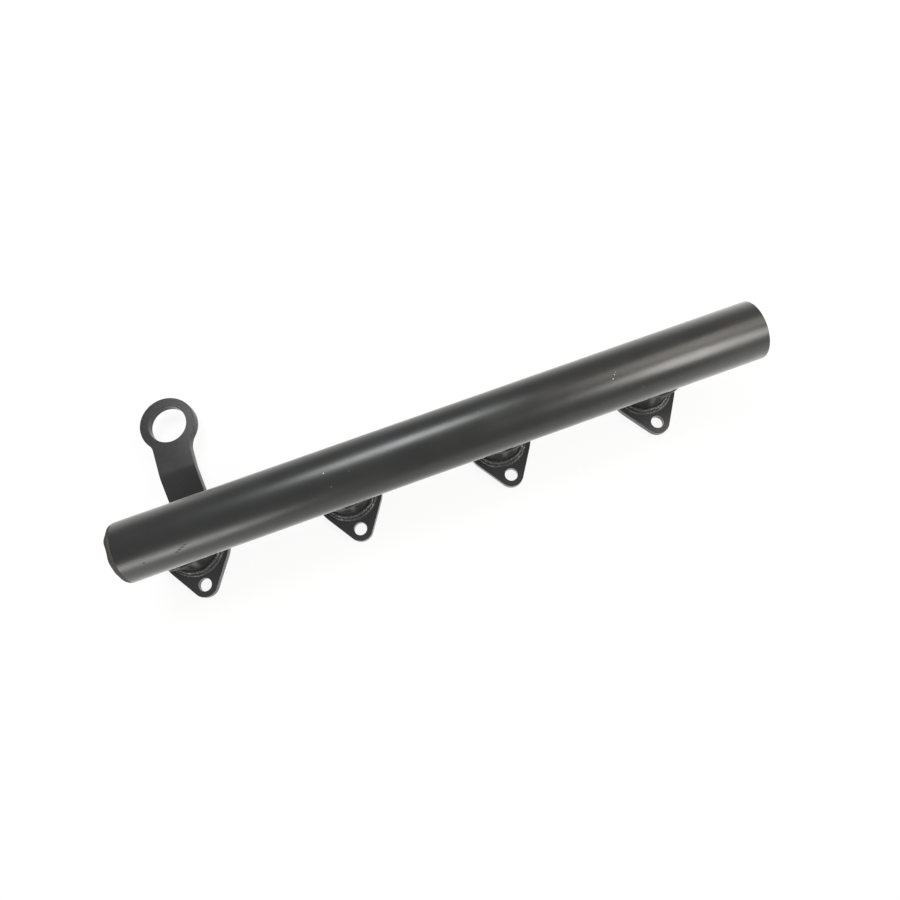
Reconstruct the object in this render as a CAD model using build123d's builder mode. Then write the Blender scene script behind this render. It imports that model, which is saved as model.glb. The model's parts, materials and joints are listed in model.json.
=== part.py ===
from build123d import *
import os
from math import asin, degrees

# A welded intake manifold for a four-cylinder engine: a straight header tube, closed at one
# end, with one short branch stub and one two-bolt flange for each cylinder.
# X runs along the tube from the closed end to the open end, Z points from the mating faces
# up to the tube, and the origin is the centre of port 1 on its mating face.

# Header tube
tube_diameter = 46.0
tube_wall = 2.5
tube_height = 57.0  # tube axis above the top faces of the flanges
closed_overhang = 31.0  # tube end past the axis of port 1
open_overhang = 77.0  # tube end past the axis of the last port

# Closed end: a flat disc, smaller than the tube, welded to the tube's end
disc_step = 2.0  # from the disc's rim to the tube's outer surface
disc_thickness = 4.0

# Branch stubs
port_count = 4
port_pitch = 130.0
stub_diameter = 38.0
stub_wall = 2.5
stub_recess = 2.0  # stub end above the mating face

# Flanges
flange_thickness = 6.0
flange_radius = 27.0
lug_radius = 10.0
bolt_spacing = 62.0
bolt_hole_diameter = 10.5

# Weld beads, by the length of one leg
flange_weld_leg = 4.5
saddle_weld_leg = 3.0
foot_weld_leg = 3.0
foot_weld_inset = 2.0  # degrees left free at each end of the bead
end_weld_crown = 1.0  # how far the end bead stands out from the disc's face

# Lifting eye, a bent strap on the rear lug of flange 1
strap_width = 29.5
strap_thickness = 8.0
strap_offset = 6.3  # centre line from the axis of port 1
strap_bend_start = 41.0
strap_bend_end = 61.0
strap_bend_radius = 16.0  # of the strap's middle layer
strap_rise = 7.0
foot_clearance = 0.5  # between the strap's foot weld and the flange weld
eye_distance = 103.2
eye_offset = 2.0  # from the strap's centre line towards port 2
eye_diameter = 45.5
eye_hole_diameter = 31.0
eye_left_neck_radius = 8.0
eye_right_neck_radius = 18.0

tube_radius = tube_diameter / 2
stub_radius = stub_diameter / 2
stub_bore_radius = stub_radius - stub_wall
tube_axis_z = flange_thickness + tube_height
tube_start = -closed_overhang
tube_length = closed_overhang + (port_count - 1) * port_pitch + open_overhang
port_positions = [number * port_pitch for number in range(port_count)]
header_axis = Axis((0, 0, tube_axis_z), (1, 0, 0))
flange_weld_radius = stub_radius + flange_weld_leg
disc_radius = tube_radius - disc_step
foot_radius = flange_weld_radius + foot_weld_leg + foot_clearance
eye_x = strap_offset + eye_offset
eye_end = eye_distance + eye_diameter / 2

os.makedirs("parts", exist_ok=True)

# The header tube, with a port cut through its lower wall above each stub
with BuildPart() as main_tube:
    with BuildSketch(Plane.YZ.offset(tube_start)):
        with Locations((0, tube_axis_z)):
            Circle(tube_radius)
            Circle(tube_radius - tube_wall, mode=Mode.SUBTRACT)
    extrude(amount=tube_length)
    with Locations([(x, 0, tube_axis_z) for x in port_positions]):
        Cylinder(
            stub_bore_radius,
            tube_diameter,
            align=(Align.CENTER, Align.CENTER, Align.MAX),
            mode=Mode.SUBTRACT,
        )
main_tube.part.label = "main_tube"
export_step(main_tube.part, "parts/main_tube.step")

# The disc that closes the tube
with BuildPart() as end_disc:
    with BuildSketch(Plane.YZ.offset(tube_start)):
        with Locations((0, tube_axis_z)):
            Circle(disc_radius)
    extrude(amount=-disc_thickness)
end_disc.part.label = "end_disc"
export_step(end_disc.part, "parts/end_disc.step")

# The bead in the step between disc and tube, which stands proud of the disc
disc_face = tube_start - disc_thickness
disc_rim = tube_axis_z + disc_radius
with BuildPart() as end_weld:
    with BuildSketch(Plane.XZ):
        with BuildLine():
            Polyline(
                (tube_start, disc_rim),
                (tube_start, tube_axis_z + tube_radius),
                (disc_face - end_weld_crown, disc_rim),
                close=True,
            )
        make_face()
    revolve(axis=header_axis)
end_weld.part.label = "end_weld"
export_step(end_weld.part, "parts/end_weld.step")

# The branch stub at port 1 stands in the flange's bore and is coped to sit on the tube
across_port = Location((0, 0, tube_axis_z), (0, 90, 0))
with BuildPart() as stub_blank:
    with BuildSketch(Plane.XY.offset(stub_recess)):
        Circle(stub_radius)
        Circle(stub_bore_radius, mode=Mode.SUBTRACT)
    extrude(amount=tube_axis_z - stub_recess)
    with Locations(across_port):
        Cylinder(tube_radius, 2 * stub_diameter, mode=Mode.SUBTRACT)

# The flange at port 1 is the hull of a round middle and two bolt lugs
with BuildPart() as flange_blank:
    with BuildSketch():
        Circle(flange_radius)
        with Locations((0, bolt_spacing / 2), (0, -bolt_spacing / 2)):
            Circle(lug_radius)
        make_hull()
        Circle(stub_radius, mode=Mode.SUBTRACT)
        with Locations((0, bolt_spacing / 2), (0, -bolt_spacing / 2)):
            Circle(bolt_hole_diameter / 2, mode=Mode.SUBTRACT)
    extrude(amount=flange_thickness)

# The same stub and flange at every port
for number, x in enumerate(port_positions, start=1):
    with BuildPart() as stub:
        with Locations((x, 0, 0)):
            add(stub_blank.part)
    stub.part.label = f"stub_{number}"
    export_step(stub.part, f"parts/stub_{number}.step")

    with BuildPart() as flange:
        with Locations((x, 0, 0)):
            add(flange_blank.part)
    flange.part.label = f"flange_{number}"
    export_step(flange.part, f"parts/flange_{number}.step")

# The fillet weld round each stub on its flange's top face
with BuildPart() as flange_bead:
    with BuildSketch(Plane.XZ):
        with BuildLine():
            Polyline(
                (stub_radius, flange_thickness + flange_weld_leg),
                (stub_radius, flange_thickness),
                (flange_weld_radius, flange_thickness),
                close=True,
            )
        make_face()
    revolve(axis=Axis.Z)
with BuildPart() as flange_welds:
    with Locations([(x, 0, 0) for x in port_positions]):
        add(flange_bead.part)
flange_welds.part.label = "flange_welds"
export_step(flange_welds.part, "parts/flange_welds.step")

# The saddle weld fills the corner between stub and tube, one leg thick on both
with BuildPart() as saddle_bead:
    with Locations((0, 0, tube_axis_z)):
        Cylinder(
            stub_radius + saddle_weld_leg,
            tube_axis_z,
            align=(Align.CENTER, Align.CENTER, Align.MAX),
        )
    with Locations(across_port):
        Cylinder(tube_radius + saddle_weld_leg, 2 * stub_diameter, mode=Mode.INTERSECT)
        Cylinder(tube_radius, 2 * stub_diameter, mode=Mode.SUBTRACT)
    with Locations((0, 0, tube_axis_z)):
        Cylinder(
            stub_radius,
            tube_axis_z,
            align=(Align.CENTER, Align.CENTER, Align.MAX),
            mode=Mode.SUBTRACT,
        )
with BuildPart() as saddle_welds:
    with Locations([(x, 0, 0) for x in port_positions]):
        add(saddle_bead.part)
saddle_welds.part.label = "saddle_welds"
export_step(saddle_welds.part, "parts/saddle_welds.step")

# The lifting eye: a bar with two bends, run across its width and cut to its plan outline
foot_middle = flange_thickness + strap_thickness / 2
with BuildPart() as lifting_eye:
    with BuildSketch(Plane.YZ):
        with BuildLine():
            FilletPolyline(
                (0, foot_middle),
                (strap_bend_start, foot_middle),
                (strap_bend_end, foot_middle + strap_rise),
                (eye_end, foot_middle + strap_rise),
                radius=strap_bend_radius,
            )
        trace(line_width=strap_thickness)
    extrude(amount=2 * eye_diameter, both=True)
    with BuildSketch() as plan:
        with Locations((eye_x, eye_distance)):
            Circle(eye_diameter / 2)
        with Locations((strap_offset, eye_distance / 2)):
            Rectangle(strap_width, eye_distance)
        necks = plan.vertices().filter_by(lambda corner: corner.Y > strap_bend_end)
        fillet(necks.sort_by(Axis.X)[0], eye_left_neck_radius)
        necks = plan.vertices().filter_by(lambda corner: corner.Y > strap_bend_end)
        fillet(necks.sort_by(Axis.X)[-1], eye_right_neck_radius)
        with Locations((0, 0)):
            Circle(foot_radius, mode=Mode.SUBTRACT)
        with Locations((0, bolt_spacing / 2)):
            Circle(bolt_hole_diameter / 2, mode=Mode.SUBTRACT)
        with Locations((eye_x, eye_distance)):
            Circle(eye_hole_diameter / 2, mode=Mode.SUBTRACT)
    extrude(amount=2 * tube_axis_z, mode=Mode.INTERSECT)
lifting_eye.part.label = "lifting_eye"
export_step(lifting_eye.part, "parts/lifting_eye.step")

# The fillet weld along the foot's curved front edge
foot_left = degrees(asin((strap_width / 2 - strap_offset) / foot_radius))
foot_right = degrees(asin((strap_width / 2 + strap_offset) / foot_radius))
with BuildPart() as eye_foot_weld:
    with BuildSketch(Plane.XZ.rotated((0, 0, 90 - foot_right + foot_weld_inset))):
        with BuildLine():
            heel = (foot_radius, flange_thickness)
            top = (foot_radius, flange_thickness + foot_weld_leg)
            toe = (foot_radius - foot_weld_leg, flange_thickness)
            Polyline(toe, heel, top, close=True)
        make_face()
    revolve(axis=Axis.Z, revolution_arc=foot_left + foot_right - 2 * foot_weld_inset)
eye_foot_weld.part.label = "eye_foot_weld"
export_step(eye_foot_weld.part, "parts/eye_foot_weld.step")
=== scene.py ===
"""The looks of a welded intake manifold in satin black paint: its tube, plates and hand-laid weld beads."""

import json
import math

import bmesh
import bpy
from bpy.props import FloatProperty, FloatVectorProperty, PointerProperty
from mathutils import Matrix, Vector, noise

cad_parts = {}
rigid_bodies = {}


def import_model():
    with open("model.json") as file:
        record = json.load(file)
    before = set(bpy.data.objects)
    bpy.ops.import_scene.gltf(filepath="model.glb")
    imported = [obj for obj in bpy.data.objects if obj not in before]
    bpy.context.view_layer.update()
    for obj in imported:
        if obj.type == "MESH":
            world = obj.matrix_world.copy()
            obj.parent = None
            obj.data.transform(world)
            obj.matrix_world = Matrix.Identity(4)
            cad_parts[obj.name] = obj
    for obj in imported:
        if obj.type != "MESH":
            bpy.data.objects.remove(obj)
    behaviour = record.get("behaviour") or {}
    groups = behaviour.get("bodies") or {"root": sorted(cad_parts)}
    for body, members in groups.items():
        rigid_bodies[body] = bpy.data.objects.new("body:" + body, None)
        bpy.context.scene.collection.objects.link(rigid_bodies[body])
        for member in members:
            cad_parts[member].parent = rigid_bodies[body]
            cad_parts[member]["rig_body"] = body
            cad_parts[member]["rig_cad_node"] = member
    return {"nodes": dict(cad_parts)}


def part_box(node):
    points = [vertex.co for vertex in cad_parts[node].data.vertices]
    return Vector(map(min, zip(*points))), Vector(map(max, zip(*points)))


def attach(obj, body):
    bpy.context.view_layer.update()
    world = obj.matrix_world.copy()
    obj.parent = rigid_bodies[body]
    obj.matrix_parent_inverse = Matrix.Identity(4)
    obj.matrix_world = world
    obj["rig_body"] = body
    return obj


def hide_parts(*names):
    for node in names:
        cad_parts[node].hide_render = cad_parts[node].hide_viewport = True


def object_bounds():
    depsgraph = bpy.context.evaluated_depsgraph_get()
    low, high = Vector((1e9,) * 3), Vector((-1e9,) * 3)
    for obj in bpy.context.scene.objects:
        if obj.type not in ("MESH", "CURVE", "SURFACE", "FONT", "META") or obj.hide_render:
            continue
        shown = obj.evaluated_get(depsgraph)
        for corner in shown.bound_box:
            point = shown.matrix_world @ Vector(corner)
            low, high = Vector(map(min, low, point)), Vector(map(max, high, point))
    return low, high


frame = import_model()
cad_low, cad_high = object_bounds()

bl_info = {
    "name": "Intake Manifold",
    "version": (1, 0, 0),
    "blender": (4, 5, 0),
    "location": "View3D > Sidebar > Manifold",
    "description": "Dresses the packed intake manifold with its paint and weld beads",
    "category": "Object",
}

BODY = "root"
PORTS = (1, 2, 3, 4)

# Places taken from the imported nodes, in metres
tube_low, tube_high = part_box("main_tube")
TUBE_RADIUS = (tube_high.y - tube_low.y) / 2
TUBE_AXIS = tube_low.z + TUBE_RADIUS
PORT_X = {n: sum(c.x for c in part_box(f"flange_{n}")) / 2 for n in PORTS}
STUB_RADIUS = (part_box("stub_1")[1].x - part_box("stub_1")[0].x) / 2
PLATE_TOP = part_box("flange_1")[1].z
DISC_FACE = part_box("end_disc")[0].x
FOOT_WELD_LOW, FOOT_WELD_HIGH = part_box("eye_foot_weld")

# How finely round shapes are divided
TUBE_SIDES = 192
PORT_SIDES = 128
BEAD_SECTIONS = 240
BEAD_SIDES = 14
SHARP_EDGE = math.radians(50)  # edges sharper than this are rounded

# How a bead's line strays: waves along it, and the step between the strays of two seeds
STRAY_WAVES = 2.3
SEED_STEP = 7.1

# Orange peel and share of dusty spots in each paint film
TUBE_FILM = {"peel_size": 0.0016, "peel_height": 0.00002, "speck_share": 0.10}
PLATE_FILM = {"peel_size": 0.0012, "peel_height": 0.00003, "speck_share": 0.05}
END_FILM = {"peel_size": 0.0013, "peel_height": 0.00015, "speck_share": 0.0}
WELD_FILM = {"peel_size": 0.0011, "peel_height": 0.00010, "speck_share": 0.0}
GLOSS_SPREAD = 0.04
TONE_SPREAD = 0.15
PATCHES_PER_METRE = 28.0
SPECKS_PER_METRE = 140.0
SPECK_SIZE = 0.045  # as a share of the space between specks
DUST_COLOUR = (0.30, 0.31, 0.29, 1)
SHEEN_ROUGHNESS = 0.35
# The eye's paint takes a lower IOR, which dims the lamps' reflection on it.
EYE_DIMMING_IOR = 1.27

# Marks in the tube's paint, placed along it from a port's axis and across it from its crest
GRAIN_SIZE = (0.0004, 0.0003)
SCRATCH_START = (0.0100, -0.0170)
SCRATCH_STEP = (0.0025, 0.0009)
SCRATCH_DABS = 4
DAB_SIZE = (0.0015, 0.0004)
MARK_DEPTH = 0.001
DARK_TONE = 0.1  # a mark up to this tone is sunk in and dull, a paler one stands out
GRAIN_RELIEF = 2.0
PIT_RELIEF = -1.5
PIT_DULLING = 0.22


class ManifoldSizes(bpy.types.PropertyGroup):
    """Sizes of the tube's wall, the rounded edges and the weld beads."""

    tube_wall: FloatProperty(
        name="Tube wall",
        description="Thickness of the header tube's wall",
        default=0.0025,
        unit="LENGTH",
    )
    port_radius: FloatProperty(
        name="Port radius",
        description="Radius of the holes in the tube's lower wall",
        default=0.0165,
        unit="LENGTH",
    )
    plate_edge: FloatProperty(
        name="Plate edge",
        description="Rounding that paint gives the edges of the cut plates",
        default=0.0004,
        unit="LENGTH",
    )
    tube_edge: FloatProperty(
        name="Tube edge",
        description="Rounding of the tube's sawn end",
        default=0.0003,
        unit="LENGTH",
    )
    soft_bead: FloatProperty(
        name="Soft bead",
        description="Share of the ripples and lumps left on a bead under thicker paint",
        default=0.18,
        subtype="FACTOR",
    )
    ripple_pitch: FloatProperty(
        name="Ripple pitch",
        description="Distance from one ripple of a bead to the next",
        default=0.0021,
        unit="LENGTH",
    )
    ripple_depth: FloatProperty(
        name="Ripple depth",
        description="How much a bead's section shrinks between ripples, as a share",
        default=0.16,
        subtype="FACTOR",
    )
    wander: FloatProperty(
        name="Wander",
        description="How far a hand-laid bead strays from its line",
        default=0.0005,
        unit="LENGTH",
    )
    grain_size: FloatProperty(
        name="Grain size",
        description="Size of the lumps on a bead's surface",
        default=0.0016,
        unit="LENGTH",
    )
    grain_height: FloatProperty(
        name="Grain height",
        description="Height of the lumps on a bead's surface",
        default=0.0007,
        unit="LENGTH",
    )
    upper_pass: FloatProperty(
        name="Upper pass",
        description="Section radius of the pass against the stub",
        default=0.0019,
        unit="LENGTH",
    )
    lower_pass: FloatProperty(
        name="Lower pass",
        description="Section radius of the pass on the flange",
        default=0.0018,
        unit="LENGTH",
    )
    saddle_bead: FloatProperty(
        name="Saddle bead",
        description="Section radius of the bead between stub and tube",
        default=0.0026,
        unit="LENGTH",
    )
    end_bead: FloatProperty(
        name="End bead",
        description="Section radius of the bead that rounds the closed end",
        default=0.0036,
        unit="LENGTH",
    )
    end_lump: FloatProperty(
        name="End lump",
        description="How far the lumps on the bead at the closed end stand out",
        default=0.0006,
        unit="LENGTH",
    )
    disc_rim: FloatProperty(
        name="Disc rim",
        description="Rounding of the disc's rim under the bead at the closed end",
        default=0.0012,
        unit="LENGTH",
    )
    foot_bead: FloatProperty(
        name="Foot bead",
        description="Section radius of the bead at the lifting eye's foot",
        default=0.0015,
        unit="LENGTH",
    )


class ManifoldPaint(bpy.types.PropertyGroup):
    """Colours and gloss of the paint on each kind of piece; the flanges', the eye's and the beads' colours
    differ from the tube's by painted light and shade.
    """

    tube_colour: FloatVectorProperty(
        name="Tube paint",
        description="Colour of the paint on the tubes",
        subtype="COLOR",
        size=3,
        min=0.0,
        max=1.0,
        default=(0.0165, 0.0170, 0.0168),
    )
    tube_roughness: FloatProperty(
        name="Tube roughness",
        description="Roughness of the satin paint on the tubes",
        default=0.33,
        subtype="FACTOR",
    )
    tube_sheen: FloatProperty(
        name="Tube sheen",
        description="Pale sheen that the paint on the header tube shows at a flat angle",
        default=0.5,
        subtype="FACTOR",
    )
    # The flanges have the tube's black paint; their paler colour is painted light that makes up for the
    # shade the tube casts on their lugs.
    plate_colour_painted_light: FloatVectorProperty(
        name="Plate paint",
        description="Colour of the paint on the flanges",
        subtype="COLOR",
        size=3,
        min=0.0,
        max=1.0,
        default=(0.050, 0.049, 0.052),
    )
    # The eye has the flanges' black paint; its darker colour is painted shade, set because more lamp light
    # falls on the eye than on the flanges' lugs under the tube.
    eye_colour_painted_shade: FloatVectorProperty(
        name="Eye paint",
        description="Colour of the thinner paint on the lifting eye",
        subtype="COLOR",
        size=3,
        min=0.0,
        max=1.0,
        default=(0.0300, 0.0290, 0.0300),
    )
    plate_roughness: FloatProperty(
        name="Plate roughness",
        description="Roughness of the paint on the plates",
        default=0.21,
        subtype="FACTOR",
    )
    # The beads have the tube's black paint; their paler colour is a painted glint that brightens them
    # beyond what their gloss and ripples catch.
    weld_colour_painted_glint: FloatVectorProperty(
        name="Weld paint",
        description="Colour of the paint on the beads",
        subtype="COLOR",
        size=3,
        min=0.0,
        max=1.0,
        default=(0.055, 0.055, 0.057),
    )
    end_colour: FloatVectorProperty(
        name="End weld paint",
        description="Colour of the dull paint on the bead at the closed end",
        subtype="COLOR",
        size=3,
        min=0.0,
        max=1.0,
        default=(0.030, 0.026, 0.021),
    )
    end_roughness: FloatProperty(
        name="End weld roughness",
        description="Roughness of the dull paint on the bead at the closed end",
        default=0.62,
        subtype="FACTOR",
    )
    weld_roughness: FloatProperty(
        name="Weld roughness",
        description="Roughness of the thicker, glossier paint on the beads",
        default=0.29,
        subtype="FACTOR",
    )


class ManifoldStage(bpy.types.PropertyGroup):
    """Camera, floor and lamps."""

    camera_place: FloatVectorProperty(
        name="Camera place",
        description="Where the camera stands",
        subtype="TRANSLATION",
        default=(0.1802, -0.1449, 0.5724),
    )
    camera_turn: FloatVectorProperty(
        name="Camera turn",
        description="How the camera is turned",
        subtype="EULER",
        default=tuple(math.radians(a) for a in (15.321, 1.404, -19.892)),
    )
    lens: FloatProperty(
        name="Lens",
        description="Focal length for a sensor 36 mm wide",
        default=28.4,
    )
    floor_size: FloatProperty(
        name="Floor",
        description="Side of the floor",
        default=8.0,
        unit="LENGTH",
    )
    world_strength: FloatProperty(
        name="Room light",
        description="Strength of the light that comes from all round",
        default=0.28,
    )
    back_power: FloatProperty(
        name="Back lamp",
        description="Power of the lamp that draws the long highlight along the middle",
        default=19.5,
        unit="POWER",
    )
    front_power: FloatProperty(
        name="Front lamp",
        description="Power of the low lamp that draws the highlight at the closed end",
        default=12.0,
        unit="POWER",
    )
    right_power: FloatProperty(
        name="Right lamp",
        description="Power of the lamp that draws the highlight at the open end",
        default=33.0,
        unit="POWER",
    )
    top_power: FloatProperty(
        name="Top lamp",
        description="Power of the warm lamp above the open end",
        default=13.5,
        unit="POWER",
    )


def deselect_all():
    if bpy.context.object and bpy.context.object.mode != "OBJECT":
        bpy.ops.object.mode_set(mode="OBJECT")
    bpy.ops.object.select_all(action="DESELECT")


def make_active(piece):
    deselect_all()
    piece.hide_set(False)
    piece.select_set(True)
    bpy.context.view_layer.objects.active = piece


def set_place(piece):
    """Puts the piece's place into its mesh, so that its object sits at the origin."""
    make_active(piece)
    bpy.ops.object.transform_apply(location=True, rotation=True, scale=True)


def apply_modifier(piece, kind, name, **settings):
    make_active(piece)
    modifier = piece.modifiers.new(name, kind)
    for key, value in settings.items():
        setattr(modifier, key, value)
    bpy.ops.object.modifier_apply(modifier=modifier.name)


def round_edges(piece, width, segments, **settings):
    apply_modifier(
        piece,
        "BEVEL",
        "edges",
        width=width,
        segments=segments,
        limit_method="ANGLE",
        angle_limit=SHARP_EDGE,
        **settings,
    )


def smooth(piece, degrees=35):
    make_active(piece)
    bpy.ops.object.shade_smooth_by_angle(angle=math.radians(degrees))


def finish_piece(piece, name, material, slot, *nodes):
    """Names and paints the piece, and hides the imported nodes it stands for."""
    piece.name = name
    piece.data.name = name
    piece.data.materials.clear()
    piece.data.materials.append(material)
    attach(piece, BODY)
    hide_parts(*nodes)


def copy_node(node):
    """A merged copy of a CAD node's mesh, with its flat faces made whole."""
    source = frame["nodes"][node]
    make_active(source)
    bpy.ops.object.duplicate()
    piece = bpy.context.object
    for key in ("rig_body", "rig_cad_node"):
        if key in piece:
            del piece[key]
    piece.parent = None
    make_active(piece)
    bpy.ops.object.mode_set(mode="EDIT")
    bpy.ops.mesh.select_all(action="SELECT")
    bpy.ops.mesh.remove_doubles(threshold=1e-6)
    bpy.ops.mesh.dissolve_limited(angle_limit=math.radians(0.5))
    bpy.ops.object.mode_set(mode="OBJECT")
    bpy.ops.mesh.customdata_custom_splitnormals_clear()
    return piece


def bead_ring(ring_radius, bead_radius, place_section, arc=None, seed=1, texture=1.0):
    """Lays a bead of weld round the Z axis.

    place_section gives, for an angle, how far that section moves outwards and upwards and its
    share of the full size. With an arc of two angles, only that stretch is kept. texture is the
    share of the stray and of the ripples' depth that shows. seed is above zero, because zero would
    make the stray differ from run to run.
    """
    noise.seed_set(seed)
    sizes = bpy.context.scene.manifold_sizes
    deselect_all()
    bpy.ops.mesh.primitive_torus_add(
        major_radius=ring_radius,
        minor_radius=bead_radius,
        major_segments=BEAD_SECTIONS,
        minor_segments=BEAD_SIDES,
    )
    bead = bpy.context.object
    bpy.ops.object.mode_set(mode="EDIT")
    mesh = bmesh.from_edit_mesh(bead.data)
    step = 2 * math.pi / BEAD_SECTIONS
    rings = {}
    for vertex in mesh.verts:
        index = round(math.atan2(vertex.co.y, vertex.co.x) / step) % BEAD_SECTIONS
        rings.setdefault(index, []).append(vertex)
    ripple_sections = max(3, round(sizes.ripple_pitch / (ring_radius * step)))
    for index, ring in rings.items():
        angle = index * step
        outwards = Vector((math.cos(angle), math.sin(angle), 0))
        out, up, share = place_section(angle)
        stray = noise.noise_vector(outwards * STRAY_WAVES + Vector((0, 0, seed * SEED_STEP)))
        stray *= sizes.wander * texture
        phase = (index % ripple_sections) / ripple_sections
        ripple = 1 - sizes.ripple_depth * texture * phase
        bpy.ops.mesh.select_all(action="DESELECT")
        for vertex in ring:
            vertex.select_set(True)
        size = share * ripple
        bpy.ops.transform.resize(value=(size, size, size), center_override=outwards * ring_radius)
        move = outwards * (out + stray.x) + Vector((0, 0, up + stray.z))
        bpy.ops.transform.translate(value=move)
    if arc:
        bpy.ops.mesh.select_all(action="DESELECT")
        for index, ring in rings.items():
            angle = index * step
            if not arc[0] <= angle <= arc[1]:
                for vertex in ring:
                    vertex.select_set(True)
        bpy.ops.mesh.delete(type="VERT")
        bpy.ops.mesh.select_all(action="SELECT")
        bpy.ops.mesh.fill_holes(sides=0)
    bpy.ops.mesh.select_all(action="SELECT")
    bpy.ops.mesh.normals_make_consistent(inside=False)
    bpy.ops.object.mode_set(mode="OBJECT")
    return bead


def finish_bead(bead, texture=1.0):
    """Rounds the bead's section and gives it the lumpy skin of solidified metal."""
    sizes = bpy.context.scene.manifold_sizes
    apply_modifier(bead, "SUBSURF", "round", levels=1, render_levels=1)
    grain = bpy.data.textures.get("weld_grain") or bpy.data.textures.new("weld_grain", "CLOUDS")
    grain.noise_scale = sizes.grain_size
    grain.noise_depth = 2
    apply_modifier(
        bead,
        "DISPLACE",
        "grain",
        texture=grain,
        texture_coords="LOCAL",
        strength=sizes.grain_height * texture,
        mid_level=0.55,
    )
    smooth(bead, degrees=60)


def copy_piece(piece, turn, x):
    """A copy with its own mesh, turned about the Z axis and moved along X."""
    make_active(piece)
    bpy.ops.object.duplicate()
    copy = bpy.context.object
    copy.rotation_euler.z = turn
    copy.location.x = x
    set_place(copy)
    return copy


def join_pieces(pieces):
    deselect_all()
    for piece in pieces:
        piece.select_set(True)
    bpy.context.view_layer.objects.active = pieces[0]
    bpy.ops.object.join()
    return bpy.context.object


def tube_marks():
    """Place along and across the tube, half length, half width and tone of each mark in its paint.

    A pale grain of dust stands out of the film, a dark pit or scratch is sunk into it and dulled; the pit's
    and the scratch's tone, darker than the paint's, is painted shade in their hollows.
    """
    first, second, _, last = (PORT_X[port] for port in PORTS)
    grains = (
        (second - 0.0055, -0.0005, 0.85),
        (second - 0.0035, -0.0110, 0.14),
        (second + 0.0120, -0.0050, 0.12),
        (last - 0.0440, -0.0035, 0.45),
        (last - 0.0460, -0.0060, 0.85),
        (last - 0.0425, -0.0020, 0.25),
    )
    marks = [(x, y, *GRAIN_SIZE, tone) for x, y, tone in grains]
    # The pit's tone, darker than the paint's, is painted shade in its hollow.
    marks.append((first - 0.0135, -0.0165, 0.0009, 0.0006, 0.006))
    marks.append((last - 0.0255, -0.0175, 0.0012, 0.0005, 0.035))
    marks.append((last + 0.0325, -0.0065, 0.0015, 0.0006, 0.030))
    # The scratch's dabs are darker than the paint, as painted shade in its groove.
    for dab in range(SCRATCH_DABS):
        x = first + SCRATCH_START[0] + dab * SCRATCH_STEP[0]
        y = SCRATCH_START[1] + dab * SCRATCH_STEP[1]
        marks.append((x, y, *DAB_SIZE, 0.008))
    return marks


def add_marks(material):
    """Lays each mark as a small patch of its own tone over the paint's colour and height."""
    nodes, links = material.node_tree.nodes, material.node_tree.links
    shader, bump = nodes["Principled BSDF"], nodes["Bump"]
    where = nodes["Texture Coordinate"].outputs["Object"]
    for x, y, half_length, half_width, tone in tube_marks():
        sunk = tone <= DARK_TONE
        place = (x, y, TUBE_AXIS + math.sqrt(TUBE_RADIUS**2 - y**2))
        away = nodes.new("ShaderNodeVectorMath")
        away.operation = "SUBTRACT"
        away.inputs[1].default_value = place
        links.new(where, away.inputs[0])
        scaled = nodes.new("ShaderNodeVectorMath")
        scaled.operation = "DIVIDE"
        scaled.inputs[1].default_value = (half_length, half_width, MARK_DEPTH)
        links.new(away.outputs["Vector"], scaled.inputs[0])
        reach = nodes.new("ShaderNodeVectorMath")
        reach.operation = "LENGTH"
        links.new(scaled.outputs["Vector"], reach.inputs[0])
        inside = nodes.new("ShaderNodeMapRange")
        inside.interpolation_type = "SMOOTHSTEP"
        inside.inputs["From Min"].default_value = 0.7
        inside.inputs["From Max"].default_value = 1.1
        inside.inputs["To Min"].default_value = 1.0
        inside.inputs["To Max"].default_value = 0.0
        links.new(reach.outputs["Value"], inside.inputs["Value"])
        # Each mark's tone; for the pit and the scratch it is darker than the paint, as painted shade in
        # their hollows.
        toned = nodes.new("ShaderNodeMix")
        toned.data_type = "RGBA"
        toned.inputs["B"].default_value = (tone, tone, tone, 1)
        links.new(inside.outputs["Result"], toned.inputs["Factor"])
        links.new(shader.inputs["Base Color"].links[0].from_socket, toned.inputs["A"])
        links.new(toned.outputs["Result"], shader.inputs["Base Color"])
        height = nodes.new("ShaderNodeMath")
        height.operation = "MULTIPLY_ADD"
        height.inputs[1].default_value = PIT_RELIEF if sunk else GRAIN_RELIEF
        links.new(inside.outputs["Result"], height.inputs[0])
        links.new(bump.inputs["Height"].links[0].from_socket, height.inputs[2])
        links.new(height.outputs["Value"], bump.inputs["Height"])
        dulled = nodes.new("ShaderNodeMath")
        dulled.operation = "MULTIPLY_ADD"
        dulled.inputs[1].default_value = PIT_DULLING if sunk else 0.0
        links.new(inside.outputs["Result"], dulled.inputs[0])
        links.new(shader.inputs["Roughness"].links[0].from_socket, dulled.inputs[2])
        links.new(dulled.outputs["Value"], shader.inputs["Roughness"])


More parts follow.
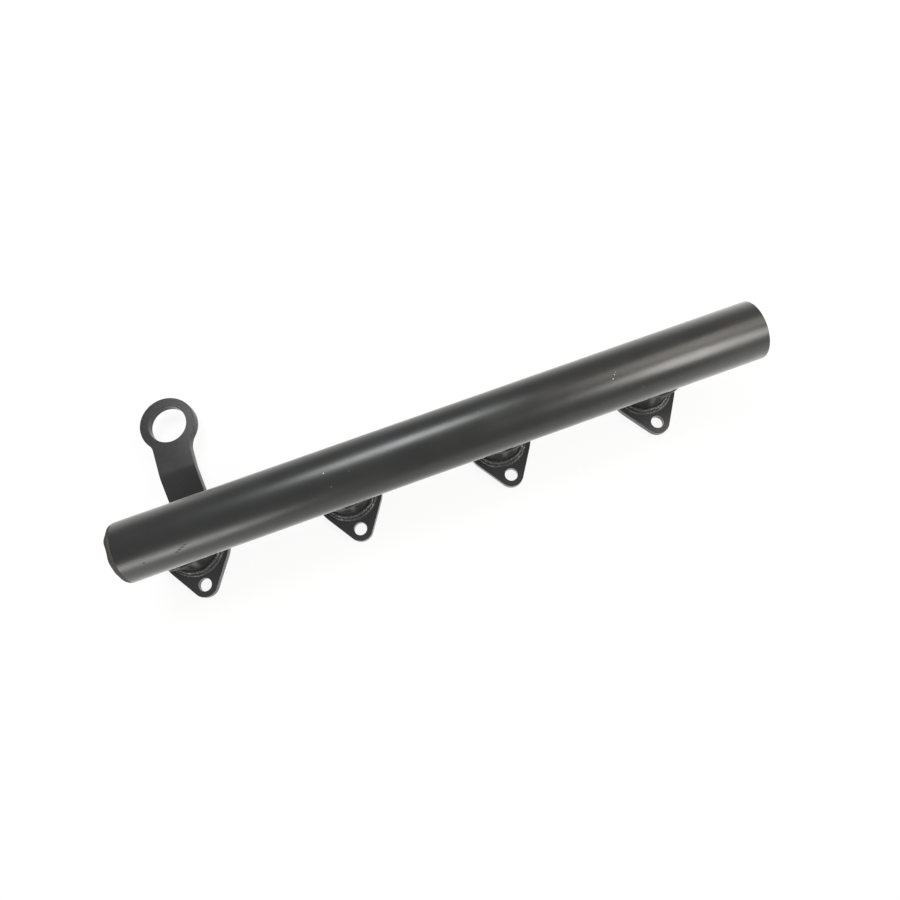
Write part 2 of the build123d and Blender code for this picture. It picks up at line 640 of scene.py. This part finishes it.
def paint_material(name, colour, roughness, peel_size, peel_height, speck_share, ior=1.5):
    """Satin paint: a faint orange peel, patches of gloss and a few specks of dust in the film."""
    material = bpy.data.materials.new(name)
    material.use_nodes = True
    nodes, links = material.node_tree.nodes, material.node_tree.links
    shader = nodes["Principled BSDF"]
    shader.inputs["IOR"].default_value = ior
    where = nodes.new("ShaderNodeTexCoord").outputs["Object"]

    patches = nodes.new("ShaderNodeTexNoise")
    patches.inputs["Scale"].default_value = PATCHES_PER_METRE
    patches.inputs["Detail"].default_value = 3.0
    links.new(where, patches.inputs["Vector"])

    gloss = nodes.new("ShaderNodeMapRange")
    gloss.interpolation_type = "SMOOTHERSTEP"
    gloss.inputs["From Min"].default_value = 0.15
    gloss.inputs["From Max"].default_value = 0.85
    gloss.inputs["To Min"].default_value = roughness - GLOSS_SPREAD
    gloss.inputs["To Max"].default_value = roughness + GLOSS_SPREAD
    links.new(patches.outputs["Fac"], gloss.inputs["Value"])
    links.new(gloss.outputs["Result"], shader.inputs["Roughness"])

    specks = nodes.new("ShaderNodeTexVoronoi")
    specks.inputs["Scale"].default_value = SPECKS_PER_METRE
    links.new(where, specks.inputs["Vector"])
    dot = nodes.new("ShaderNodeMath")
    dot.operation = "LESS_THAN"
    dot.inputs[1].default_value = SPECK_SIZE
    links.new(specks.outputs["Distance"], dot.inputs[0])
    pick = nodes.new("ShaderNodeSeparateColor")
    links.new(specks.outputs["Color"], pick.inputs["Color"])
    chosen = nodes.new("ShaderNodeMath")
    chosen.operation = "LESS_THAN"
    chosen.inputs[1].default_value = speck_share
    links.new(pick.outputs["Red"], chosen.inputs[0])
    speck = nodes.new("ShaderNodeMath")
    speck.operation = "MULTIPLY"
    links.new(dot.outputs["Value"], speck.inputs[0])
    links.new(chosen.outputs["Value"], speck.inputs[1])

    tone = nodes.new("ShaderNodeMix")
    tone.data_type = "RGBA"
    tone.inputs["A"].default_value = (*[c * (1 - TONE_SPREAD) for c in colour], 1)
    tone.inputs["B"].default_value = (*[c * (1 + TONE_SPREAD) for c in colour], 1)
    links.new(patches.outputs["Fac"], tone.inputs["Factor"])
    dusted = nodes.new("ShaderNodeMix")
    dusted.data_type = "RGBA"
    dusted.inputs["B"].default_value = DUST_COLOUR
    links.new(speck.outputs["Value"], dusted.inputs["Factor"])
    links.new(tone.outputs["Result"], dusted.inputs["A"])
    links.new(dusted.outputs["Result"], shader.inputs["Base Color"])

    peel = nodes.new("ShaderNodeTexNoise")
    peel.inputs["Scale"].default_value = 1 / peel_size
    peel.inputs["Detail"].default_value = 2.0
    links.new(where, peel.inputs["Vector"])
    raised = nodes.new("ShaderNodeMath")
    raised.operation = "ADD"
    links.new(peel.outputs["Fac"], raised.inputs[0])
    links.new(speck.outputs["Value"], raised.inputs[1])
    bump = nodes.new("ShaderNodeBump")
    bump.inputs["Strength"].default_value = 1.0
    bump.inputs["Distance"].default_value = peel_height
    links.new(raised.outputs["Value"], bump.inputs["Height"])
    links.new(bump.outputs["Normal"], shader.inputs["Normal"])
    return material


def stub_paint():
    paint = bpy.context.scene.manifold_paint
    return bpy.data.materials.get("satin_stub") or paint_material(
        "satin_stub", paint.tube_colour, paint.tube_roughness, **TUBE_FILM
    )


def tube_paint():
    """The header tube's paint, with a pale sheen at a flat angle and with the marks."""
    paint = bpy.context.scene.manifold_paint
    material = bpy.data.materials.get("satin_tube")
    if material is None:
        material = paint_material(
            "satin_tube", paint.tube_colour, paint.tube_roughness, **TUBE_FILM
        )
        shader = material.node_tree.nodes["Principled BSDF"]
        shader.inputs["Sheen Weight"].default_value = paint.tube_sheen
        shader.inputs["Sheen Roughness"].default_value = SHEEN_ROUGHNESS
        add_marks(material)
    return material


# The flanges' colour is paler than the tube's, as painted light for the tube's shade on them.
def plate_paint():
    paint = bpy.context.scene.manifold_paint
    return bpy.data.materials.get("satin_plate") or paint_material(
        "satin_plate", paint.plate_colour_painted_light, paint.plate_roughness, **PLATE_FILM
    )


# The eye's colour is set darker than the flanges' as painted shade.
def eye_paint():
    paint = bpy.context.scene.manifold_paint
    return bpy.data.materials.get("satin_eye") or paint_material(
        "satin_eye", paint.eye_colour_painted_shade, paint.plate_roughness, **PLATE_FILM, ior=EYE_DIMMING_IOR
    )


def end_paint():
    paint = bpy.context.scene.manifold_paint
    return bpy.data.materials.get("dull_weld") or paint_material(
        "dull_weld", paint.end_colour, paint.end_roughness, **END_FILM
    )


# The beads' colour is paler than the tube's, as a painted glint.
def weld_paint():
    paint = bpy.context.scene.manifold_paint
    return bpy.data.materials.get("glossy_weld") or paint_material(
        "glossy_weld", paint.weld_colour_painted_glint, paint.weld_roughness, **WELD_FILM
    )


class MANIFOLD_OT_header_tube(bpy.types.Operator):
    """Makes the header tube with its wall, its ports and its sawn end"""

    bl_idname = "manifold.header_tube"
    bl_label = "Header tube"

    def execute(self, context):
        sizes = context.scene.manifold_sizes
        deselect_all()
        bpy.ops.mesh.primitive_cylinder_add(
            vertices=TUBE_SIDES,
            radius=TUBE_RADIUS,
            depth=tube_high.x - tube_low.x,
            end_fill_type="NOTHING",
            location=((tube_low.x + tube_high.x) / 2, 0, TUBE_AXIS),
            rotation=(0, math.pi / 2, 0),
        )
        tube = context.object
        set_place(tube)
        apply_modifier(tube, "SOLIDIFY", "wall", thickness=sizes.tube_wall, offset=-1)
        for port in PORTS:
            deselect_all()
            bpy.ops.mesh.primitive_cylinder_add(
                vertices=PORT_SIDES,
                radius=sizes.port_radius,
                depth=TUBE_AXIS,
                location=(PORT_X[port], 0, TUBE_AXIS / 2),
            )
            cutter = context.object
            set_place(cutter)
            apply_modifier(tube, "BOOLEAN", "port", operation="DIFFERENCE", object=cutter)
            bpy.data.objects.remove(cutter)
        round_edges(tube, sizes.tube_edge, segments=2)
        smooth(tube)
        finish_piece(tube, "header_tube", tube_paint(), "tube_paint", "main_tube")
        return {"FINISHED"}


class MANIFOLD_OT_stubs(bpy.types.Operator):
    """Paints the branch stubs and the disc in the closed end"""

    bl_idname = "manifold.stubs"
    bl_label = "Branch stubs and end disc"

    def execute(self, context):
        for port in PORTS:
            stub = copy_node(f"stub_{port}")
            smooth(stub)
            finish_piece(stub, f"branch_stub_{port}", stub_paint(), "tube_paint", f"stub_{port}")
        disc = copy_node("end_disc")
        round_edges(disc, context.scene.manifold_sizes.disc_rim, segments=3)
        smooth(disc)
        finish_piece(disc, "closing_disc", stub_paint(), "tube_paint", "end_disc")
        return {"FINISHED"}


class MANIFOLD_OT_plates(bpy.types.Operator):
    """Rounds the painted edges of the flanges and the lifting eye"""

    bl_idname = "manifold.plates"
    bl_label = "Flanges and lifting eye"

    def execute(self, context):
        sizes = context.scene.manifold_sizes
        names = {f"flange_{port}": f"flange_plate_{port}" for port in PORTS}
        names["lifting_eye"] = "lifting_strap"
        for node, name in names.items():
            plate = copy_node(node)
            smooth(plate, degrees=40)
            round_edges(plate, sizes.plate_edge, segments=3, harden_normals=True)
            # The eye takes a darker colour than the flanges, as painted shade.
            paint = eye_paint() if node == "lifting_eye" else plate_paint()
            finish_piece(plate, name, paint, "plate_paint", node)
        return {"FINISHED"}


class MANIFOLD_OT_flange_welds(bpy.types.Operator):
    """Lays two passes of weld round each stub on its flange"""

    bl_idname = "manifold.flange_welds"
    bl_label = "Flange welds"

    def execute(self, context):
        sizes = context.scene.manifold_sizes
        upper_stand_off, upper_height = 0.0009, 0.0026
        lower_stand_off, lower_height = 0.0029, 0.0005
        turn_between_ports = 1.9
        upper = bead_ring(
            STUB_RADIUS + upper_stand_off,
            sizes.upper_pass,
            lambda angle: (0, PLATE_TOP + upper_height, 1),
            seed=1,
        )
        lower = bead_ring(
            STUB_RADIUS + lower_stand_off,
            sizes.lower_pass,
            lambda angle: (0, PLATE_TOP + lower_height, 1),
            seed=11,
        )
        bead = join_pieces([upper, lower])
        finish_bead(bead)
        for port in PORTS:
            weld = copy_piece(bead, turn_between_ports * port, PORT_X[port])
            finish_piece(weld, f"flange_weld_{port}", weld_paint(), "weld_paint", "flange_welds")
        bpy.data.objects.remove(bead)
        return {"FINISHED"}


class MANIFOLD_OT_saddle_welds(bpy.types.Operator):
    """Lays the bead between each stub and the header tube"""

    bl_idname = "manifold.saddle_welds"
    bl_label = "Saddle welds"

    def execute(self, context):
        sizes = context.scene.manifold_sizes
        stand_off = 0.0012
        ring_radius = STUB_RADIUS + stand_off

        def on_saddle(angle):
            across = ring_radius * math.sin(angle)
            below = math.sqrt((TUBE_RADIUS + stand_off) ** 2 - across**2)
            return 0, TUBE_AXIS - below, 1

        bead = bead_ring(
            ring_radius, sizes.saddle_bead, on_saddle, seed=21, texture=sizes.soft_bead
        )
        finish_bead(bead, sizes.soft_bead)
        for port in PORTS:
            weld = copy_piece(bead, math.pi * port, PORT_X[port])
            finish_piece(weld, f"saddle_weld_{port}", stub_paint(), "weld_paint", "saddle_welds")
        bpy.data.objects.remove(bead)
        return {"FINISHED"}


class MANIFOLD_OT_end_weld(bpy.types.Operator):
    """Lays the wavy bead round the closed end"""

    bl_idname = "manifold.end_weld"
    bl_label = "End weld"

    def execute(self, context):
        sizes = context.scene.manifold_sizes
        below_tube = 0.0002
        past_disc = 0.00095
        wave_pitch = 3.1
        wave_start = Vector((0, 0, 4.2))
        wave_height = 0.0003
        wave_thinning = 0.03
        upper_middle, upper_spread, upper_share = math.radians(18), math.radians(10), 0.5
        lower_middle, lower_spread, lower_share = math.radians(-29), math.radians(20), 0.8
        ring_radius = TUBE_RADIUS - sizes.end_bead - below_tube
        line = -DISC_FACE - sizes.end_bead + past_disc

        def lump(angle, middle, spread):
            away = (angle - middle + math.pi) % (2 * math.pi) - math.pi
            return math.exp(-((away / spread) ** 2))

        def wavy(angle):
            around = Vector((math.cos(angle), math.sin(angle), 0))
            wave = noise.noise(around * wave_pitch + wave_start)
            upper = lump(angle, upper_middle, upper_spread)
            lower = lump(angle, lower_middle, lower_spread)
            out = sizes.end_lump * (upper_share * upper + lower_share * lower)
            back = sizes.end_lump * (1 - max(upper, lower))
            return out, line - back + wave_height * wave, 1 + wave_thinning * min(wave, 0)

        bead = bead_ring(ring_radius, sizes.end_bead, wavy, seed=31, texture=sizes.soft_bead)
        finish_bead(bead, sizes.soft_bead)
        bead.rotation_euler = (0, -math.pi / 2, 0)
        bead.location.z = TUBE_AXIS
        set_place(bead)
        finish_piece(bead, "end_bead", end_paint(), "weld_paint", "end_weld")
        return {"FINISHED"}


class MANIFOLD_OT_foot_weld(bpy.types.Operator):
    """Lays the short bead along the foot of the lifting eye"""

    bl_idname = "manifold.foot_weld"
    bl_label = "Foot weld"

    def execute(self, context):
        sizes = context.scene.manifold_sizes
        inset = 0.0012
        height = 0.0008
        taper = 0.12
        least_share = 0.35
        ring_radius = Vector((FOOT_WELD_HIGH.x, FOOT_WELD_LOW.y)).length - inset
        first = math.atan2(FOOT_WELD_LOW.y, FOOT_WELD_HIGH.x)
        last = math.atan2(FOOT_WELD_LOW.y, FOOT_WELD_LOW.x)

        def tapered(angle):
            to_end = min(angle - first, last - angle) / taper
            return 0, PLATE_TOP + height, max(least_share, min(1, to_end))

        bead = bead_ring(ring_radius, sizes.foot_bead, tapered, arc=(first, last), seed=41)
        finish_bead(bead)
        finish_piece(bead, "foot_bead", weld_paint(), "weld_paint", "eye_foot_weld")
        return {"FINISHED"}


def floor_material():
    """White to the camera and in reflections, and still darkened by the object's shadow."""
    material = bpy.data.materials.new("floor")
    material.use_nodes = True
    nodes, links = material.node_tree.nodes, material.node_tree.links
    shader = nodes["Principled BSDF"]
    pale_grey = (0.86, 0.86, 0.86, 1)
    white_share = 0.9
    shader.inputs["Base Color"].default_value = pale_grey
    shader.inputs["Roughness"].default_value = 1.0
    shader.inputs["Specular IOR Level"].default_value = 0.0
    glow = nodes.new("ShaderNodeEmission")
    glow.inputs["Strength"].default_value = 1.0
    path = nodes.new("ShaderNodeLightPath")
    seen = nodes.new("ShaderNodeMath")
    seen.operation = "MULTIPLY"
    seen.inputs[1].default_value = white_share
    links.new(path.outputs["Is Camera Ray"], seen.inputs[0])
    share = nodes.new("ShaderNodeMath")
    share.operation = "MAXIMUM"
    links.new(seen.outputs["Value"], share.inputs[0])
    links.new(path.outputs["Is Glossy Ray"], share.inputs[1])
    material.cycles.emission_sampling = "NONE"
    mix = nodes.new("ShaderNodeMixShader")
    links.new(share.outputs["Value"], mix.inputs["Fac"])
    links.new(shader.outputs["BSDF"], mix.inputs[1])
    links.new(glow.outputs["Emission"], mix.inputs[2])
    links.new(mix.outputs["Shader"], nodes["Material Output"].inputs["Surface"])
    return material


def studio_world(strength):
    """Even light from all round, in a room that looks white."""
    world = bpy.data.worlds.new("studio")
    world.use_nodes = True
    nodes, links = world.node_tree.nodes, world.node_tree.links
    sky = nodes["Background"]
    sky.inputs["Color"].default_value = (1.0, 1.0, 1.0, 1)
    path = nodes.new("ShaderNodeLightPath")
    seen = nodes.new("ShaderNodeMapRange")
    seen.inputs["To Min"].default_value = strength
    seen.inputs["To Max"].default_value = 1.0
    links.new(path.outputs["Is Camera Ray"], seen.inputs["Value"])
    links.new(seen.outputs["Result"], sky.inputs["Strength"])
    return world


def add_lamp(name, place, aim, size, power, colour):
    data = bpy.data.lights.new(name, "AREA")
    data.shape = "RECTANGLE"
    data.size, data.size_y = size
    data.energy = power
    data.color = colour
    lamp = bpy.data.objects.new(name, data)
    bpy.context.scene.collection.objects.link(lamp)
    lamp.location = place
    lamp.rotation_euler = (Vector(aim) - Vector(place)).to_track_quat("-Z", "Y").to_euler()


class MANIFOLD_OT_stage(bpy.types.Operator):
    """Makes the camera, the pale floor and the studio lamps"""

    bl_idname = "manifold.stage"
    bl_label = "Stage"

    def execute(self, context):
        stage = context.scene.manifold_stage
        deselect_all()
        bpy.ops.mesh.primitive_plane_add(size=stage.floor_size, location=(PORT_X[2], 0, 0))
        floor = context.object
        floor.name = "floor"
        set_place(floor)
        floor.data.materials.append(floor_material())

        middle = Vector(((cad_low.x + cad_high.x) / 2, 0, TUBE_AXIS))
        right_end = Vector((cad_high.x, 0, TUBE_AXIS))
        left_end = Vector((cad_low.x, 0, TUBE_AXIS))
        add_lamp(
            "back_lamp",
            place=(0.08, 0.69, 1.45),
            aim=middle.lerp(right_end, 0.45),
            size=(0.78, 0.50),
            power=stage.back_power,
            colour=(0.97, 0.99, 1.0),
        )
        add_lamp(
            "front_lamp",
            place=(-0.95, -1.32, 0.45),
            aim=left_end,
            size=(0.80, 0.50),
            power=stage.front_power,
            colour=(1.0, 1.0, 0.97),
        )
        add_lamp(
            "right_lamp",
            place=(1.76, -0.92, 1.31),
            aim=right_end,
            size=(0.80, 0.98),
            power=stage.right_power,
            colour=(1.0, 0.99, 0.94),
        )
        add_lamp(
            "top_lamp",
            place=(1.62, 0.20, 1.50),
            aim=right_end,
            size=(0.80, 1.15),
            power=stage.top_power,
            colour=(1.0, 0.92, 0.83),
        )

        context.scene.world = studio_world(stage.world_strength)

        data = bpy.data.cameras.new("camera")
        data.lens = stage.lens
        data.sensor_width = 36.0
        camera = bpy.data.objects.new("camera", data)
        context.scene.collection.objects.link(camera)
        camera.location = stage.camera_place
        camera.rotation_euler = stage.camera_turn
        context.scene.camera = camera
        context.scene.view_settings.view_transform = "Standard"
        return {"FINISHED"}


class MANIFOLD_PT_panel(bpy.types.Panel):
    """Lists the manifold's settings and its steps"""

    bl_idname = "MANIFOLD_PT_panel"
    bl_label = "Intake manifold"
    bl_space_type = "VIEW_3D"
    bl_region_type = "UI"
    bl_category = "Manifold"

    def draw(self, context):
        for group in (
            context.scene.manifold_sizes,
            context.scene.manifold_paint,
            context.scene.manifold_stage,
        ):
            box = self.layout.box()
            for key in group.__annotations__:
                box.prop(group, key)
        for operator in OPERATORS:
            self.layout.operator(operator.bl_idname)


OPERATORS = (
    MANIFOLD_OT_header_tube,
    MANIFOLD_OT_stubs,
    MANIFOLD_OT_plates,
    MANIFOLD_OT_flange_welds,
    MANIFOLD_OT_saddle_welds,
    MANIFOLD_OT_end_weld,
    MANIFOLD_OT_foot_weld,
    MANIFOLD_OT_stage,
)
GROUPS = {
    "manifold_sizes": ManifoldSizes,
    "manifold_paint": ManifoldPaint,
    "manifold_stage": ManifoldStage,
}


def register():
    for name, group in GROUPS.items():
        bpy.utils.register_class(group)
        setattr(bpy.types.Scene, name, PointerProperty(type=group))
    for cls in (*OPERATORS, MANIFOLD_PT_panel):
        bpy.utils.register_class(cls)


def unregister():
    for cls in (MANIFOLD_PT_panel, *reversed(OPERATORS)):
        bpy.utils.unregister_class(cls)
    for name, group in GROUPS.items():
        delattr(bpy.types.Scene, name)
        bpy.utils.unregister_class(group)


def main():
    register()
    bpy.ops.manifold.header_tube()
    bpy.ops.manifold.stubs()
    bpy.ops.manifold.plates()
    bpy.ops.manifold.flange_welds()
    bpy.ops.manifold.saddle_welds()
    bpy.ops.manifold.end_weld()
    bpy.ops.manifold.foot_weld()
    bpy.ops.manifold.stage()


if __name__ == "__main__":
    main()
